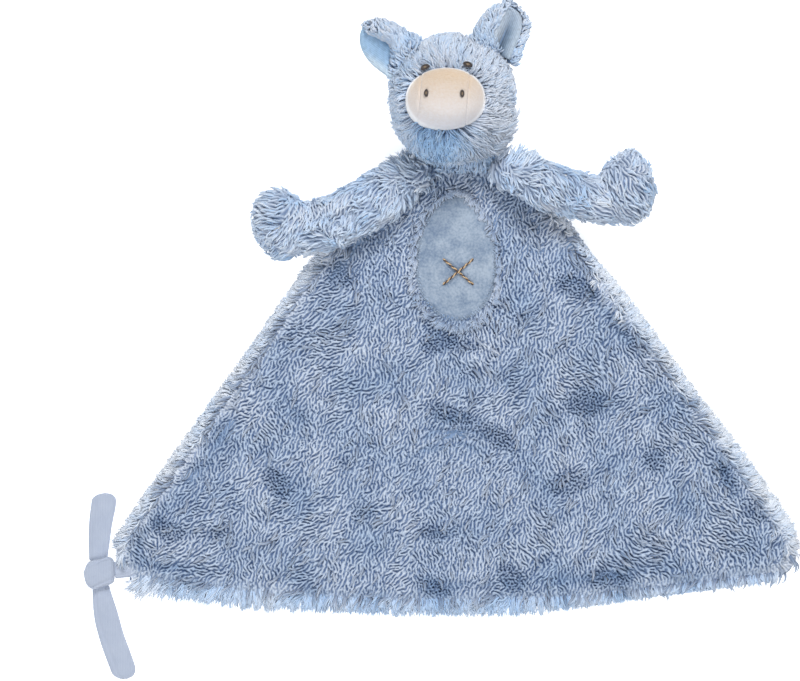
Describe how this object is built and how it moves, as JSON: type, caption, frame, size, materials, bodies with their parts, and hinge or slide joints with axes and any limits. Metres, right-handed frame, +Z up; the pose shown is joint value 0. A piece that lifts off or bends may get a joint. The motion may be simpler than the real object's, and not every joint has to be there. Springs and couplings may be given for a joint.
{
  "type": "comfort blanket",
  "caption": "Flat plush comfort blanket with a stuffed animal's head and arms, a velour tummy patch and a knotted ribbon on one corner.",
  "frame": {"origin": "under the neck, on the plane that the blanket's backing rests on, midway between the hem's corners", "axes": "+X across the hem, +Y from the hem to the crown of the head, +Z up through the face"},
  "size_m": [0.3442, 0.3264, 0.0642],
  "materials": {
    "plush": "long curly pile, matt",
    "blue_velour": "short smooth pile",
    "ear_velour": "short smooth pile",
    "cream_velour": "short smooth pile",
    "stuffing": "loose fibre",
    "dark_thread": "satin stitch",
    "edge_thread": "matt thread",
    "belly_thread": "twisted two-colour thread",
    "jersey_ribbon": "matt knit"
  },
  "bodies": {
    "blanket": {"blanket_back": "blue_velour", "blanket_front": "plush", "tummy_patch": "blue_velour", "tummy_stitching": "edge_thread", "cross_stitch_lower": "belly_thread", "cross_stitch_upper": "belly_thread", "ribbon_tab": "jersey_ribbon"},
    "head": {"head_cover": "plush", "head_stuffing": "stuffing", "snout_left_panel": "cream_velour", "snout_front_panel": "cream_velour", "snout_right_panel": "cream_velour", "eye_left": "dark_thread", "eye_right": "dark_thread", "nostril_left": "dark_thread", "nostril_right": "dark_thread"},
    "ear_left": {"ear_left_back": "plush", "ear_left_lining": "ear_velour"},
    "ear_right": {"ear_right_back": "plush", "ear_right_lining": "ear_velour"},
    "arm_left": {"arm_left_cover": "plush", "arm_left_stuffing": "stuffing"},
    "arm_right": {"arm_right_cover": "plush", "arm_right_stuffing": "stuffing"},
    "knot": {"ribbon_knot": "jersey_ribbon"},
    "upper_tail": {"ribbon_upper_tail": "jersey_ribbon"},
    "lower_tail": {"ribbon_lower_tail": "jersey_ribbon"}
  },
  "joints": [
    {"name": "head_nod", "type": "hinge", "parent": "blanket", "child": "head", "pos_m": [0.0025, 0.005, 0.0087], "axis": [1, 0, 0], "range_deg": [0, 28]},
    {"name": "arm_left_lift", "type": "hinge", "parent": "blanket", "child": "arm_left", "pos_m": [-0.0151, -0.004, 0.01154], "axis": [0, 1, 0], "range_deg": [0, 40]},
    {"name": "arm_right_lift", "type": "hinge", "parent": "blanket", "child": "arm_right", "pos_m": [0.0201, -0.003, 0.01154], "axis": [0, -1, 0], "range_deg": [0, 50]},
    {"name": "ear_left_fold", "type": "hinge", "parent": "head", "child": "ear_left", "pos_m": [-0.02689, 0.05219, 0.02704], "axis": [0.5888, 0.8083, 0], "range_deg": [-20, 35], "stiffness_Nm_per_rad": 0.02},
    {"name": "ear_right_fold", "type": "hinge", "parent": "head", "child": "ear_right", "pos_m": [0.01835, 0.05611, 0.02704], "axis": [0.9243, -0.3818, 0], "range_deg": [-20, 35], "stiffness_Nm_per_rad": 0.02},
    {"name": "knot_flip", "type": "hinge", "parent": "blanket", "child": "knot", "pos_m": [-0.16376, -0.19496, 0.0047], "axis": [0, 1, 0], "range_deg": [0, 60]},
    {"name": "upper_tail_lift", "type": "hinge", "parent": "knot", "child": "upper_tail", "pos_m": [-0.17171, -0.18673, 0.0016], "axis": [1, 0, 0], "range_deg": [0, 80]},
    {"name": "lower_tail_lift", "type": "hinge", "parent": "knot", "child": "lower_tail", "pos_m": [-0.17031, -0.20433, 0.0016], "axis": [-1, 0, 0], "range_deg": [0, 80]}
  ]
}
